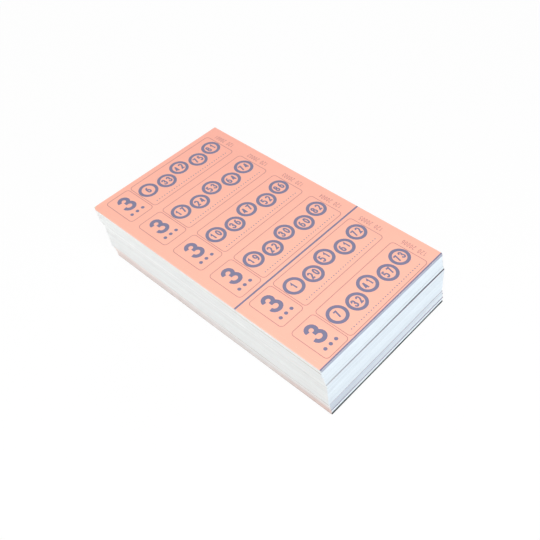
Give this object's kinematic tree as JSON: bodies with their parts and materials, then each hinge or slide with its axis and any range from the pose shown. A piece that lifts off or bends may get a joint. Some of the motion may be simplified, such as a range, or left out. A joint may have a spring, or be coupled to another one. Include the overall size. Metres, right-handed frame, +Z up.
{
  "type": "stack of bingo ticket books",
  "caption": "Block of thin glued bingo ticket books in slightly slipped bundles, with a salmon printed cover on top whose leaves turn at the glued spine edge.",
  "frame": {"origin": "middle of the lowest book's underside, on the table", "axes": "+X from the glued spine to the fore edge, +Y from the foot to the head of the page, +Z up"},
  "size_m": [0.1617, 0.274, 0.0656],
  "materials": {
    "cover_paper": "matt, printed",
    "game_paper": "matt, printed",
    "book_paper": "matt, cut edges",
    "dry_glue": "dull"
  },
  "bodies": {
    "bundle_7": {"bundle_7_books": "book_paper", "bundle_7_cover": "cover_paper"},
    "bundle_6": {"bundle_6_books": "book_paper", "bundle_6_cover": "cover_paper"},
    "bundle_5": {"bundle_5_books": "book_paper", "bundle_5_cover": "cover_paper"},
    "bundle_4": {"bundle_4_books": "book_paper", "bundle_4_cover": "cover_paper"},
    "bundle_3": {"bundle_3_books": "book_paper", "bundle_3_cover": "cover_paper"},
    "bundle_2": {"bundle_2_books": "book_paper", "bundle_2_cover": "cover_paper"},
    "bundle_1": {"bundle_1_books": "book_paper", "bundle_1_cover": "cover_paper"},
    "top_book": {"top_book_cover_margin": "cover_paper", "top_book_game_margin_1": "game_paper", "top_book_game_margin_2": "game_paper", "top_book_game_margin_3": "game_paper", "top_book_glue_line_1": "dry_glue", "top_book_glue_line_2": "dry_glue", "top_book_glue_line_3": "dry_glue"},
    "game_leaf_3": {"top_book_game_leaf_3": "game_paper"},
    "game_leaf_2": {"top_book_game_leaf_2": "game_paper"},
    "game_leaf_1": {"top_book_game_leaf_1": "game_paper"},
    "cover_leaf": {"top_book_cover_leaf": "cover_paper"}
  },
  "joints": [
    {"name": "bundle_6_lift", "type": "slide", "parent": "bundle_7", "child": "bundle_6", "axis": [0, 0, 1], "range_m": [0, 0.03]},
    {"name": "bundle_5_lift", "type": "slide", "parent": "bundle_6", "child": "bundle_5", "axis": [0, 0, 1], "range_m": [0, 0.03]},
    {"name": "bundle_4_lift", "type": "slide", "parent": "bundle_5", "child": "bundle_4", "axis": [0, 0, 1], "range_m": [0, 0.03]},
    {"name": "bundle_3_lift", "type": "slide", "parent": "bundle_4", "child": "bundle_3", "axis": [0, 0, 1], "range_m": [0, 0.03]},
    {"name": "bundle_2_lift", "type": "slide", "parent": "bundle_3", "child": "bundle_2", "axis": [0, 0, 1], "range_m": [0, 0.03]},
    {"name": "bundle_1_lift", "type": "slide", "parent": "bundle_2", "child": "bundle_1", "axis": [0, 0, 1], "range_m": [0, 0.03]},
    {"name": "top_book_lift", "type": "slide", "parent": "bundle_1", "child": "top_book", "axis": [0, 0, 1], "range_m": [0, 0.03]},
    {"name": "game_leaf_3_turn", "type": "hinge", "parent": "top_book", "child": "game_leaf_3", "pos_m": [-0.08065, 0.00416, 0.06562], "axis": [0, -1, 0], "range_deg": [0, 12]},
    {"name": "game_leaf_2_turn", "type": "hinge", "parent": "game_leaf_3", "child": "game_leaf_2", "pos_m": [-0.08065, 0.00416, 0.06562], "axis": [0, -1, 0], "range_deg": [0, 18]},
    {"name": "game_leaf_1_turn", "type": "hinge", "parent": "game_leaf_2", "child": "game_leaf_1", "pos_m": [-0.08065, 0.00416, 0.06562], "axis": [0, -1, 0], "range_deg": [0, 35]},
    {"name": "cover_leaf_turn", "type": "hinge", "parent": "game_leaf_1", "child": "cover_leaf", "pos_m": [-0.08065, 0.00416, 0.06562], "axis": [0, -1, 0], "range_deg": [0, 110]}
  ]
}
